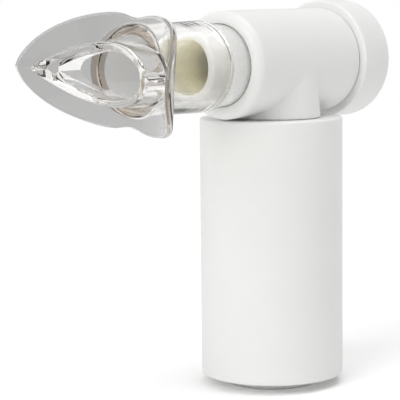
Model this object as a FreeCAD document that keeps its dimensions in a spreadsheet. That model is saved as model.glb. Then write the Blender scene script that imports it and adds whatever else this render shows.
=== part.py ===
# Inspiratory muscle trainer: a valve head on a grip cylinder, with a soft clear mouthpiece.
#
# Frame, in millimetres: the origin is the middle of the foot's lower face, +Z is up
# along the grip's axis, the mouthpiece points to -X and the rear cap to +X.
# Air comes in under the foot, rises through the grip, lifts the sprung poppet off its
# seat and leaves through the mouthpiece. Breath going out opens the disc under the cap.
# Turning the grip against the head drives the spring carrier down and loads the spring.

import FreeCAD, Part
import math
import os
import Sketcher

doc = FreeCAD.newDocument("Trainer")

# Driving sizes
# Each size is written once here and reaches the pieces through the sheet.
DRIVING_SIZES = {
    # grip
    "grip_radius": 23.0,
    "grip_wall": 2.0,
    "grip_bottom": 3.0,
    "grip_top": 86.4,
    "grip_lid": 2.4,
    "grip_land": 0.8,
    "grip_edge": 0.7,
    "foot_inset": 6.0,
    "foot_floor": 2.2,
    "foot_edge": 0.8,
    "plug_plate": 2.2,
    "plug_recess": 1.0,
    "plug_skirt": 7.0,
    "plug_wall": 1.5,
    "inlet_bore": 2.4,
    "inlet_count": 14,
    # head
    "tube_clear": 0.6,
    "tube_radius": 16.9,
    "tube_front": 26.5,
    "tube_rear": 25.6,
    "tube_wall": 2.5,
    "outlet_depth": 11.6,
    "lip_round": 3.0,
    "lip_inner_round": 0.8,
    "socket_depth": 13.0,
    "stem_half_width": 14.2,
    "stem_shift": 1.0,
    "stem_clear": 0.4,
    "neck_radius": 14.0,
    "neck_wall": 2.1,
    "neck_reach": 16.4,
    "ring_thickness": 2.6,
    "ring_clear": 1.8,
    "ring_groove": 0.8,
    "ring_mouth": 16.0,
    # loading mechanism
    "thread_wall": 2.3,
    "barrel_wall": 2.0,
    "barrel_clear": 3.0,
    "barrel_collar_wall": 1.4,
    "barrel_collar_height": 4.0,
    "slot_width": 4.4,
    "slot_spare_above": 1.5,
    "slot_spare_below": 4.0,
    "lug_count": 3,
    "lug_width": 4.0,
    "lug_reach": 1.9,
    "carrier_drop": 4.7,
    "carrier_travel": 15.0,
    "carrier_thickness": 3.0,
    "carrier_bore": 4.0,
    "carrier_port": 2.0,
    "carrier_port_circle": 7.0,
    "carrier_port_count": 6,
    "sleeve_drop": 13.5,
    "thread_lead": 20.0,
    "thread_height": 4.6,
    # spring and valve rod
    "spring_space": 30.0,
    "spring_clear": 0.55,
    "spring_wire": 1.1,
    "spring_turns": 7,
    "cup_plate": 2.0,
    "cup_rim": 2.4,
    "cup_clear": 1.8,
    "cup_rim_wall": 1.1,
    "cup_hub": 3.4,
    "cup_hub_height": 5.0,
    "rod_radius": 1.5,
    "rod_tail": 3.6,
    "clip_thickness": 0.9,
    "clip_radius": 3.2,
    "clip_mouth": 1.6,
    "clip_groove": 0.4,
    # inlet valve
    "seat_thickness": 3.6,
    "seat_bore": 7.4,
    "seat_land": 0.6,
    "seat_land_width": 0.9,
    "poppet_seal_thickness": 1.5,
    "poppet_radius": 9.4,
    "poppet_plate": 2.0,
    "poppet_crown": 1.2,
    "guide_drop": 0.6,
    "guide_thickness": 2.4,
    "guide_wall": 1.3,
    "guide_hub": 3.2,
    "guide_arm": 1.8,
    "guide_arm_count": 3,
    # outlet valve
    "outlet_thickness": 2.8,
    "outlet_port": 2.2,
    "outlet_port_inset": 3.2,
    "outlet_port_count": 6,
    "pin_radius": 1.2,
    "pin_length": 5.2,
    "pin_head": 2.0,
    "pin_head_length": 1.2,
    "disc_clear": 1.15,
    "disc_thickness": 0.8,
    # rear cap
    "cap_radius": 19.3,
    "cap_length": 13.9,
    "cap_wall": 2.0,
    "cap_edge": 1.6,
    "cap_front_edge": 0.6,
    "cap_plug_wall": 2.7,
    "vent_width": 1.8,
    "vent_length": 9.0,
    "vent_circle": 10.2,
    "vent_count": 12,
    # spigot
    "collar_step": 1.75,
    "collar_show": 8.7,
    "male_radius": 11.0,
    "male_length": 9.6,
    "spigot_wall": 2.0,
    # O-rings
    "cord_radius": 0.8,
    "cord_gap": 0.15,
    # mouthpiece
    "mouth_tube_wall": 2.2,
    "mouth_bead": 0.8,
    "mouth_bead_length": 2.4,
    "mouth_roll": 3.5,
    "mouth_tube_length": 29.5,
    "flange_bend": 33.0,
    "flange_half_width": 29.8,
    "flange_half_height": 17.2,
    "flange_thickness": 1.8,
    "flange_notch_radius": 9.0,
    "flange_notch_depth": 1.2,
    "bite_reach": 11.0,
    "bite_half_width": 22.0,
    "bite_half_height": 9.3,
    "airway_half_width": 16.5,
    "airway_half_height": 6.8,
    # clearances
    "turn_gap": 0.35,
    "slide_gap": 0.3,
    "face_gap": 0.3,
    "fit_gap": 0.1,
    "rod_gap": 0.08,
}

sheet = doc.addObject("Spreadsheet::Sheet", "Sizes")
for row, (alias, number) in enumerate(DRIVING_SIZES.items(), start=1):
    sheet.set("A%d" % row, alias)
    sheet.set("B%d" % row, str(number))
    sheet.setAlias("B%d" % row, alias)
doc.recompute()


class Size:
    """A length that knows both its number and the sheet expression behind it."""

    def __init__(self, number, text=None):
        self.number = float(number)
        self.text = text if text else repr(float(number))

    @staticmethod
    def of(value):
        return value if isinstance(value, Size) else Size(value)

    def __add__(self, other):
        other = Size.of(other)
        return Size(self.number + other.number, "(%s + %s)" % (self.text, other.text))

    def __sub__(self, other):
        other = Size.of(other)
        return Size(self.number - other.number, "(%s - %s)" % (self.text, other.text))

    def __mul__(self, other):
        other = Size.of(other)
        return Size(self.number * other.number, "(%s * %s)" % (self.text, other.text))

    def __truediv__(self, other):
        other = Size.of(other)
        return Size(self.number / other.number, "(%s / %s)" % (self.text, other.text))

    def at_most(self, other):
        return Size(min(self.number, other.number), "min(%s; %s)" % (self.text, other.text))

    def __neg__(self):
        return Size(-self.number, "(-1 * %s)" % self.text)


class Sheet:
    """Reads a cell of the sheet as a Size: size.grip_radius and so on."""

    def __getattr__(self, alias):
        return Size(sheet.get(alias), "Sizes.%s" % alias)


size = Sheet()
ZERO = Size(0.0)
FULL_TURN = 360.0
parts = []


# Helpers for bodies and sketches

def new_body(label, lift=None):
    """A body for one piece, lifted to its height when one is given."""
    body = doc.addObject("PartDesign::Body", "Body_" + label)
    body.Label = label
    if lift is not None:
        body.Placement.Base.z = lift.number
        body.setExpression("Placement.Base.z", lift.text)
    parts.append(body)
    return body


def plane(body, role):
    """One of the body's own origin planes."""
    return next(item for item in body.Origin.OriginFeatures if item.Role == role)


def new_sketch(body, name, role, offset=None):
    """A sketch on an origin plane, moved along that plane's normal by offset."""
    sketch = body.newObject("Sketcher::SketchObject", "%s_%s" % (body.Label, name))
    sketch.AttachmentSupport = [(plane(body, role), "")]
    sketch.MapMode = "FlatFace"
    if offset is not None:
        sketch.AttachmentOffset.Base.z = offset.number
        sketch.setExpression("AttachmentOffset.Base.z", offset.text)
    return sketch


def pin_down(sketch, geometry, point, x, y):
    """Fix one point of a sketch at (x, y), each from the sheet."""
    # A sketch numbers its own upright axis -2 and its level axis -1
    for value, kind, axis, turn in ((x, "DistanceX", -2, "across"), (y, "DistanceY", -1, "up")):
        if value.number == 0.0:
            sketch.addConstraint(Sketcher.Constraint("PointOnObject", geometry, point, axis))
            continue
        index = sketch.addConstraint(Sketcher.Constraint(kind, geometry, point, value.number))
        sketch.renameConstraint(index, "%s_%d_%d" % (turn, geometry, point))
        sketch.setExpression("Constraints.%s_%d_%d" % (turn, geometry, point), value.text)


def polygon(sketch, corners):
    """A closed outline through the corners, each a pair of sizes."""
    corners = [(Size.of(x), Size.of(y)) for x, y in corners]
    first = sketch.GeometryCount
    count = len(corners)
    for number in range(count):
        (x0, y0), (x1, y1) = corners[number], corners[(number + 1) % count]
        start = FreeCAD.Vector(x0.number, y0.number, 0)
        end = FreeCAD.Vector(x1.number, y1.number, 0)
        sketch.addGeometry(Part.LineSegment(start, end))
    for number in range(count):
        following = first + (number + 1) % count
        sketch.addConstraint(Sketcher.Constraint("Coincident", first + number, 2, following, 1))
    for number, (x, y) in enumerate(corners):
        pin_down(sketch, first + number, 1, x, y)


def circle(sketch, x, y, radius):
    """A circle in a sketch."""
    x, y = Size.of(x), Size.of(y)
    centre = FreeCAD.Vector(x.number, y.number, 0)
    index = sketch.addGeometry(Part.Circle(centre, FreeCAD.Vector(0, 0, 1), radius.number))
    pin_down(sketch, index, 3, x, y)
    number = sketch.addConstraint(Sketcher.Constraint("Radius", index, radius.number))
    sketch.renameConstraint(number, "radius_%d" % index)
    sketch.setExpression("Constraints.radius_%d" % index, radius.text)


def box_corners(x0, x1, y0, y1):
    """The four corners of a rectangle, for polygon."""
    return [(x0, y0), (x1, y0), (x1, y1), (x0, y1)]


def revolve(body, name, corners, axis="V_Axis", groove=False):
    """Turn an outline on the XZ plane about an axis, adding or removing material."""
    sketch = new_sketch(body, name + "_outline", "XZ_Plane")
    polygon(sketch, corners)
    kind = "PartDesign::Groove" if groove else "PartDesign::Revolution"
    feature = body.newObject(kind, "%s_%s" % (body.Label, name))
    feature.Profile = sketch
    feature.ReferenceAxis = (sketch, [axis])
    feature.Angle = FULL_TURN
    settle(body, feature, groove)
    return feature


def settle(body, feature, removes):
    """Recompute and make sure that the feature added or removed something."""
    doc.recompute()
    base = feature.BaseFeature
    if base is not None:
        change = feature.Shape.Volume - base.Shape.Volume
        if (change >= 0) if removes else (change <= 0):
            raise RuntimeError("%s does nothing" % feature.Name)
    body.Tip = feature


def extrude(body, name, sketch, length, removes=False, reverse=False, midplane=False):
    """Pad or pocket a sketch by a length from the sheet."""
    kind = "PartDesign::Pocket" if removes else "PartDesign::Pad"
    feature = body.newObject(kind, "%s_%s" % (body.Label, name))
    feature.Profile = sketch
    feature.Length = length.number
    feature.setExpression("Length", length.text)
    feature.Reversed = reverse
    feature.Midplane = midplane
    settle(body, feature, removes)
    return feature


def around(body, feature, axis_role, count):
    """Repeat a feature evenly round one of the body's axes."""
    axis = next(item for item in body.Origin.OriginFeatures if item.Role == axis_role)
    pattern = body.newObject("PartDesign::PolarPattern", feature.Name + "_pattern")
    pattern.Originals = [feature]
    pattern.Axis = (axis, [""])
    pattern.Angle = FULL_TURN
    pattern.Occurrences = int(count.number)
    pattern.setExpression("Occurrences", count.text)
    body.Tip = pattern
    doc.recompute()
    return pattern


def round_edges(body, name, radius, chosen, bevel=False):
    """Fillet or bevel the edges of the body's tip that the test chooses."""
    base = body.Tip
    edges = ["Edge%d" % (n + 1) for n, edge in enumerate(base.Shape.Edges) if chosen(edge)]
    if not edges:
        raise RuntimeError("%s finds no edge" % name)
    kind = "PartDesign::Chamfer" if bevel else "PartDesign::Fillet"
    feature = body.newObject(kind, "%s_%s" % (body.Label, name))
    feature.Base = (base, edges)
    cell = "Size" if bevel else "Radius"
    setattr(feature, cell, radius.number)
    feature.setExpression(cell, radius.text)
    body.Tip = feature
    doc.recompute()
    return feature


def ring_edge(edge, radius, direction, place):
    """True for a full circle of this radius whose centre lies at place along direction."""
    if not isinstance(edge.Curve, Part.Circle) or not edge.isClosed():
        return False
    centre = {"x": edge.Curve.Center.x, "z": edge.Curve.Center.z}[direction]
    near = 1e-4
    return abs(edge.Curve.Radius - radius.number) < near and abs(centre - place.number) < near


def o_ring(label, radius, place, along_x=False):
    """A rubber ring, standing on Z or along the head's tube."""
    ring = doc.addObject("Part::Torus", label)
    ring.Label = label
    ring.Radius1 = radius.number
    ring.setExpression("Radius1", radius.text)
    ring.Radius2 = size.cord_radius.number
    ring.setExpression("Radius2", size.cord_radius.text)
    if along_x:
        ring.Placement.Rotation = FreeCAD.Rotation(FreeCAD.Vector(0, 1, 0), 90)
        height = tube_height
        ring.Placement.Base = FreeCAD.Vector(place.number, 0, height.number)
        ring.setExpression("Placement.Base.x", place.text)
    else:
        height = place
        ring.Placement.Base.z = height.number
    ring.setExpression("Placement.Base.z", height.text)
    parts.append(ring)
    return ring


# Places that several pieces share
grip_bore = size.grip_radius - size.grip_wall
lid_under = size.grip_top - size.grip_lid
lid_bore = size.neck_radius + size.turn_gap
foot_radius = grip_bore - size.foot_inset
plug_under = size.grip_bottom + size.plug_recess
plug_top = plug_under + size.plug_skirt
sleeve_top = lid_under - size.sleeve_drop
sleeve_outer = grip_bore - size.fit_gap / 2
tube_height = size.grip_top + size.tube_clear + size.tube_radius
stem_base = size.grip_top + size.stem_clear
neck_end = size.grip_top - size.neck_reach
neck_bore = size.neck_radius - size.neck_wall
ring_top = lid_under - size.face_gap
ring_seat = size.neck_radius - size.ring_groove
ring_radius = grip_bore - size.grip_land - size.ring_clear
groove_radius = sleeve_outer - size.thread_wall
lug_radius = groove_radius - size.turn_gap
barrel_radius = lug_radius - size.lug_reach
barrel_bore = barrel_radius - size.barrel_wall
barrel_end = plug_top + size.barrel_clear
barrel_top = neck_end - size.face_gap
collar_outer = neck_bore - size.fit_gap
collar_bore = collar_outer - size.barrel_collar_wall
collar_top = barrel_top + size.barrel_collar_height
ledge_under = barrel_top - size.barrel_wall
sleeve_bore = barrel_radius + size.turn_gap
carrier_height = ledge_under - size.carrier_drop - size.carrier_thickness
lug_middle = carrier_height + size.carrier_thickness / 2
slot_low = carrier_height - size.carrier_travel - size.slot_spare_below
slot_high = carrier_height + size.carrier_thickness + size.slot_spare_above
cup_height = carrier_height - size.spring_space - size.cup_plate
cup_radius = barrel_bore - size.cup_clear
spring_low = cup_height + size.cup_plate
spring_radius = cup_radius - size.cup_rim_wall - size.spring_clear - size.spring_wire / 2
clip_top = cup_height
clip_under = clip_top - size.clip_thickness
seat_height = collar_top + size.face_gap
seat_top = seat_height + size.seat_thickness
seal_under = seat_top + size.seat_land + size.face_gap
seal_top = seal_under + size.poppet_seal_thickness
guide_top = collar_top - size.guide_drop
tube_step = size.tube_rear - size.outlet_depth
outlet_bore = size.tube_radius - size.tube_wall
outlet_right = tube_step + size.outlet_thickness
cap_front = size.tube_rear + size.face_gap
cap_back = cap_front + size.cap_length
cap_plug = outlet_bore - size.slide_gap / 2
cap_plug_bore = cap_plug - size.cap_plug_wall
cap_plug_end = outlet_right + size.face_gap
disc_radius = cap_plug_bore - size.disc_clear
collar_radius = size.male_radius + size.collar_step
collar_shoulder = size.tube_front + size.collar_show
spigot_bore = size.male_radius - size.spigot_wall
socket_bore = collar_radius + size.fit_gap
socket_end = -(size.tube_front - size.socket_depth)
collar_end = socket_end - size.face_gap
male_end = -(collar_shoulder + size.male_length)
lip_wall = size.tube_radius - socket_bore
lip_round = size.lip_round.at_most(lip_wall * 0.75)
lip_inner_round = size.lip_inner_round.at_most(lip_wall * 0.2)
cord_inset = size.cord_gap + size.cord_radius
cord_depth = cord_inset + size.cord_radius + size.fit_gap / 2


# Grip: sleeve, base plug and thread sleeve

def make_grip_sleeve():
    """The white grip: a plain tube, closed at the top round the neck."""
    body = new_body("grip_sleeve")
    land = grip_bore - size.grip_land
    revolve(body, "shell", [
        (size.grip_radius, size.grip_bottom), (size.grip_radius, size.grip_top),
        (lid_bore, size.grip_top), (lid_bore, lid_under),
        (land, lid_under), (land, sleeve_top),
        (grip_bore, sleeve_top), (grip_bore, size.grip_bottom)])
    outer = size.grip_radius
    round_edges(body, "rim", size.grip_edge,
                lambda edge: ring_edge(edge, outer, "z", size.grip_top)
                or ring_edge(edge, outer, "z", size.grip_bottom))


def make_base_plug():
    """The recessed foot and the plate with the air inlets, pressed into the grip."""
    body = new_body("base_plug")
    skirt = grip_bore - size.fit_gap / 2
    plate_top = plug_under + size.plug_plate
    foot_bore = foot_radius - size.plug_wall
    revolve(body, "shell", [
        (ZERO, ZERO), (foot_radius, ZERO), (foot_radius, plug_under),
        (skirt, plug_under), (skirt, plug_top), (skirt - size.plug_wall, plug_top),
        (skirt - size.plug_wall, plate_top), (foot_bore, plate_top),
        (foot_bore, size.foot_floor), (ZERO, size.foot_floor)])
    round_edges(body, "foot_edge", size.foot_edge,
                lambda edge: ring_edge(edge, foot_radius, "z", ZERO))
    sketch = new_sketch(body, "inlet_outline", "XY_Plane", plug_under)
    inlet_circle = (foot_radius + skirt - size.plug_wall) / 2
    circle(sketch, inlet_circle, ZERO, size.inlet_bore / 2)
    inlet = extrude(body, "inlet", sketch, size.plug_plate, removes=True, reverse=True)
    around(body, inlet, "Z_Axis", size.inlet_count)


def make_thread_sleeve():
    """The sleeve in the grip whose inner grooves carry the carrier's lugs."""
    body = new_body("thread_sleeve")
    revolve(body, "shell", [
        (sleeve_bore, plug_top), (sleeve_outer, plug_top),
        (sleeve_outer, sleeve_top), (sleeve_bore, sleeve_top)])
    # One groove starts a full lead below the lug and leaves through the top
    low = lug_middle - size.thread_lead - size.thread_height / 2
    sketch = new_sketch(body, "groove_outline", "XZ_Plane")
    polygon(sketch, box_corners(
        sleeve_bore - size.turn_gap, groove_radius, low, low + size.thread_height))
    groove = body.newObject("PartDesign::SubtractiveHelix", "thread_sleeve_groove")
    groove.Profile = sketch
    groove.ReferenceAxis = (sketch, ["V_Axis"])
    rise = sleeve_top - low
    groove.Mode = "pitch-height-angle"
    for cell, value in (("Pitch", size.thread_lead), ("Height", rise)):
        setattr(groove, cell, value.number)
        groove.setExpression(cell, value.text)
    settle(body, groove, removes=True)
    around(body, groove, "Z_Axis", size.lug_count)


# Head: housing, ring, barrel, seats and seals

def make_head_housing():
    """The T-shaped moulding: the tube, the oval stem and the round neck under it."""
    body = new_body("head_housing", tube_height)
    front = -size.tube_front
    revolve(body, "tube", [
        (front, ZERO), (size.tube_rear, ZERO),
        (size.tube_rear, size.tube_radius), (front, size.tube_radius)], axis="H_Axis")
    round_edges(body, "lip", lip_round,
                lambda edge: ring_edge(edge, size.tube_radius, "x", front))
    stem = new_sketch(body, "stem_outline", "XY_Plane")
    centre = FreeCAD.Vector(-size.stem_shift.number, 0, 0)
    half_depth = size.tube_radius
    oval = stem.addGeometry(Part.Ellipse(
        centre + FreeCAD.Vector(0, half_depth.number, 0),
        centre + FreeCAD.Vector(size.stem_half_width.number, 0, 0), centre))
    stem.exposeInternalGeometry(oval)
    fix_ellipse(stem, oval, -size.stem_shift, size.stem_half_width, half_depth)
    extrude(body, "stem", stem, tube_height - stem_base, reverse=True)
    neck = new_sketch(body, "neck_outline", "XY_Plane")
    circle(neck, ZERO, ZERO, size.neck_radius)
    extrude(body, "neck", neck, tube_height - neck_end, reverse=True)
    bore = new_sketch(body, "neck_bore_outline", "XY_Plane")
    circle(bore, ZERO, ZERO, neck_bore)
    extrude(body, "neck_bore", bore, tube_height - neck_end, removes=True)
    revolve(body, "bore", [
        (front, ZERO), (size.tube_rear, ZERO), (size.tube_rear, outlet_bore),
        (tube_step, outlet_bore), (tube_step, socket_bore),
        (front, socket_bore)], axis="H_Axis", groove=True)
    ring_low = ring_top - size.ring_thickness - tube_height
    revolve(body, "ring_groove", box_corners(
        ring_seat, size.neck_radius + size.fit_gap, ring_low,
        ring_top - tube_height), groove=True)
    round_edges(body, "lip_inside", lip_inner_round,
                lambda edge: ring_edge(edge, socket_bore, "x", front))


def fix_ellipse(sketch, oval, centre_x, half_x, half_y):
    """Bind the oval's centre and its two axes to the sheet; its long axis is upright."""
    pin_down(sketch, oval, 3, centre_x, ZERO)
    sketch.addConstraint(Sketcher.Constraint("Vertical", oval + 1))
    for name, line, half in (("long_axis", oval + 1, half_y), ("short_axis", oval + 2, half_x)):
        whole = half + half
        number = sketch.addConstraint(Sketcher.Constraint("Distance", line, whole.number))
        sketch.renameConstraint(number, name)
        sketch.setExpression("Constraints." + name, whole.text)


def make_retaining_ring():
    """The open ring in the neck's groove that holds the head in the grip's lid."""
    body = new_body("retaining_ring", ring_top - size.ring_thickness)
    revolve(body, "ring", box_corners(
        ring_seat + size.fit_gap / 2, ring_radius, ZERO, size.ring_thickness))
    mouth = new_sketch(body, "mouth_outline", "XY_Plane")
    half = size.ring_mouth / 2
    polygon(mouth, box_corners(ZERO, ring_radius * 2, -half, half))
    extrude(body, "mouth", mouth, size.ring_thickness, removes=True, reverse=True)


def make_inner_barrel():
    """The slotted tube under the neck, which keeps the carrier from turning."""
    body = new_body("inner_barrel")
    ledge = collar_bore - size.barrel_collar_wall
    revolve(body, "shell", [
        (barrel_bore, barrel_end), (barrel_radius, barrel_end),
        (barrel_radius, barrel_top), (collar_outer, barrel_top),
        (collar_outer, collar_top), (collar_bore, collar_top),
        (collar_bore, barrel_top), (ledge, barrel_top), (ledge, ledge_under),
        (barrel_bore, ledge_under)])
    slot = new_sketch(body, "slot_outline", "XY_Plane", slot_low)
    half = size.slot_width / 2
    polygon(slot, box_corners(ZERO, barrel_radius * 2, -half, half))
    cut = extrude(body, "slot", slot, slot_high - slot_low, removes=True, reverse=True)
    around(body, cut, "Z_Axis", size.lug_count)


def make_rod_guide():
    """The three-armed guide that keeps the valve rod upright."""
    body = new_body("rod_guide", guide_top - size.guide_thickness)
    outer = collar_bore - size.fit_gap
    inner = outer - size.guide_wall
    revolve(body, "ring", box_corners(inner, outer, ZERO, size.guide_thickness))
    arm = new_sketch(body, "arm_outline", "XY_Plane")
    half = size.guide_arm / 2
    polygon(arm, box_corners(ZERO, inner + size.guide_wall / 2, -half, half))
    bar = extrude(body, "arm", arm, size.guide_thickness)
    around(body, bar, "Z_Axis", size.guide_arm_count)
    hub = new_sketch(body, "hub_outline", "XY_Plane")
    circle(hub, ZERO, ZERO, size.guide_hub)
    extrude(body, "hub", hub, size.guide_thickness)
    hole = new_sketch(body, "hole_outline", "XY_Plane")
    circle(hole, ZERO, ZERO, size.rod_radius + size.rod_gap)
    extrude(body, "hole", hole, size.guide_thickness, removes=True, reverse=True)


def make_inlet_seat():
    """The ring with the raised land that the poppet closes on."""
    body = new_body("inlet_seat")
    outer = neck_bore - size.fit_gap
    low, high = seat_height, seat_top
    land = high + size.seat_land
    land_outer = size.seat_bore + size.seat_land_width
    groove_bore = neck_bore - cord_depth
    middle = (low + high) / 2
    revolve(body, "ring", [
        (size.seat_bore, low), (outer, low), (outer, middle - size.cord_radius),
        (groove_bore, middle - size.cord_radius), (groove_bore, middle + size.cord_radius),
        (outer, middle + size.cord_radius), (outer, high), (land_outer, high),
        (land_outer, land), (size.seat_bore, land)])


def make_outlet_seat():
    """The ported disc in the tube's rear end, with the pin that holds the flap."""
    body = new_body("outlet_seat", tube_height)
    outer = outlet_bore - size.fit_gap
    left, right = tube_step, outlet_right
    tip = right + size.pin_length
    shoulder = tip - size.pin_head_length
    revolve(body, "disc", [
        (left, ZERO), (left, outer), (right, outer), (right, size.pin_radius),
        (shoulder, size.pin_radius), (shoulder, size.pin_head), (tip, size.pin_radius),
        (tip, ZERO)], axis="H_Axis")
    port = new_sketch(body, "port_outline", "YZ_Plane", left)
    circle(port, disc_radius - size.outlet_port_inset, ZERO, size.outlet_port)
    hole = extrude(body, "port", port, size.outlet_thickness, removes=True, reverse=True)
    around(body, hole, "X_Axis", size.outlet_port_count)


# Load mechanism and inlet poppet

def make_spring_carrier():
    """The spider above the spring; its lugs reach through the barrel's slots."""
    body = new_body("spring_carrier", carrier_height)
    revolve(body, "plate", box_corners(
        size.carrier_bore, barrel_bore - size.slide_gap, ZERO, size.carrier_thickness))
    lug = new_sketch(body, "lug_outline", "XY_Plane")
    half = size.lug_width / 2
    polygon(lug, box_corners(barrel_bore - size.barrel_wall, lug_radius, -half, half))
    arm = extrude(body, "lug", lug, size.carrier_thickness)
    around(body, arm, "Z_Axis", size.lug_count)
    port = new_sketch(body, "port_outline", "XY_Plane")
    circle(port, size.carrier_port_circle, ZERO, size.carrier_port)
    hole = extrude(body, "port", port, size.carrier_thickness, removes=True, reverse=True)
    around(body, hole, "Z_Axis", size.carrier_port_count)


def make_load_spring():
    """The compression spring between the cup on the rod and the carrier."""
    wire = size.spring_wire.number
    bottom = spring_low.number + wire / 2 + size.fit_gap.number
    top = carrier_height.number - wire / 2 - size.fit_gap.number
    rise = top - bottom
    # Sums of decimals leave a tiny remainder, which a helix is sensitive to
    radius = round(spring_radius.number, 6)
    coil = Part.makeHelix(rise / size.spring_turns.number, rise, radius)
    start = FreeCAD.Vector(radius, 0, 0)
    section = Part.Wire(Part.Circle(start, FreeCAD.Vector(0, 1, 0), wire / 2).toShape())
    solid = Part.Wire(coil).makePipeShell([section], True, True)
    spring = doc.addObject("Part::Feature", "load_spring")
    spring.Label = "load_spring"
    spring.Shape = solid
    spring.Placement.Base.z = bottom
    parts.append(spring)


def make_poppet():
    """The valve plate and the long rod that the spring pulls down."""
    body = new_body("poppet")
    rod_end = clip_under - size.rod_tail
    groove = size.rod_radius - size.clip_groove
    crown = seal_top + size.poppet_plate
    revolve(body, "plate", [
        (ZERO, rod_end), (size.rod_radius, rod_end), (size.rod_radius, clip_under),
        (groove, clip_under), (groove, clip_top), (size.rod_radius, clip_top),
        (size.rod_radius, seal_top), (size.poppet_radius, seal_top),
        (size.poppet_radius, crown - size.poppet_crown / 2), (size.guide_hub, crown),
        (ZERO, crown + size.poppet_crown)])


def make_poppet_seal():
    """The soft washer under the valve plate."""
    body = new_body("poppet_seal", seal_under)
    revolve(body, "washer", box_corners(
        size.rod_radius + size.fit_gap, size.poppet_radius, ZERO, size.poppet_seal_thickness))


def make_spring_cup():
    """The cup that the spring presses down, held by the clip on the rod."""
    body = new_body("spring_cup", cup_height)
    rim_inner = cup_radius - size.cup_rim_wall
    bore = size.rod_radius + size.rod_gap
    revolve(body, "cup", [
        (bore, ZERO), (cup_radius, ZERO), (cup_radius, size.cup_plate + size.cup_rim),
        (rim_inner, size.cup_plate + size.cup_rim), (rim_inner, size.cup_plate),
        (size.cup_hub, size.cup_plate), (size.cup_hub, size.cup_hub_height),
        (bore, size.cup_hub_height)])


def make_rod_clip():
    """The spring clip in the rod's groove under the cup."""
    body = new_body("rod_clip", clip_under)
    inner = size.rod_radius - size.clip_groove + size.fit_gap / 2
    revolve(body, "ring", box_corners(inner, size.clip_radius, ZERO, size.clip_thickness))
    mouth = new_sketch(body, "mouth_outline", "XY_Plane")
    half = size.clip_mouth / 2
    polygon(mouth, box_corners(ZERO, size.clip_radius * 2, -half, half))
    extrude(body, "mouth", mouth, size.clip_thickness, removes=True, reverse=True)


# Outlet flap and rear cap

def make_outlet_flap():
    """The soft disc on the outlet seat's pin."""
    body = new_body("outlet_flap", tube_height)
    left = outlet_right + size.face_gap
    bore = size.pin_radius + size.rod_gap
    revolve(body, "disc", box_corners(left, left + size.disc_thickness, bore, disc_radius),
            axis="H_Axis")


def make_rear_cap():
    """The vented cap over the outlet valve; its plug pushes into the tube."""
    body = new_body("rear_cap", tube_height)
    cup_bore = size.cap_radius - size.cap_wall
    revolve(body, "shell", [
        (cap_plug_end, cap_plug_bore), (cap_plug_end, cap_plug), (cap_front, cap_plug),
        (cap_front, size.cap_radius), (cap_back, size.cap_radius), (cap_back, ZERO),
        (cap_back - size.cap_wall, ZERO), (cap_back - size.cap_wall, cup_bore),
        (cap_front + size.cap_wall, cup_bore), (cap_front + size.cap_wall, cap_plug_bore)],
        axis="H_Axis")
    round_edges(body, "back_edge", size.cap_edge,
                lambda edge: ring_edge(edge, size.cap_radius, "x", cap_back))
    round_edges(body, "front_edge", size.cap_front_edge,
                lambda edge: ring_edge(edge, size.cap_radius, "x", cap_front))
    seal_place = (cap_plug_end + cap_front) / 2
    groove = outlet_bore - cord_depth
    revolve(body, "seal_groove", box_corners(
        seal_place - size.cord_radius, seal_place + size.cord_radius,
        groove, cap_plug + size.fit_gap), axis="H_Axis", groove=True)
    vent = new_sketch(body, "vent_outline", "YZ_Plane", cap_back)
    half = size.vent_width / 2
    reach = size.vent_length / 2
    polygon(vent, box_corners(size.vent_circle - reach, size.vent_circle + reach, -half, half))
    slot = extrude(body, "vent", vent, size.cap_wall + size.fit_gap, removes=True)
    around(body, slot, "X_Axis", size.vent_count)


# Spigot and mouthpiece

def make_mouth_spigot():
    """The pale adaptor between the head's socket and the mouthpiece."""
    body = new_body("mouth_spigot", tube_height)
    shoulder = -collar_shoulder
    seal_place = (socket_end - size.tube_front) / 2
    low, high = seal_place - size.cord_radius, seal_place + size.cord_radius
    groove = socket_bore - cord_depth
    revolve(body, "tube", [
        (male_end, spigot_bore), (male_end, size.male_radius),
        (shoulder, size.male_radius), (shoulder, collar_radius),
        (low, collar_radius), (low, groove), (high, groove),
        (high, collar_radius), (collar_end, collar_radius),
        (collar_end, spigot_bore)], axis="H_Axis")


def round_bar(radius, length, start, direction):
    """A cylinder solid with its numbers read from the sheet."""
    return Part.makeCylinder(radius, length, start, direction)


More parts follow.
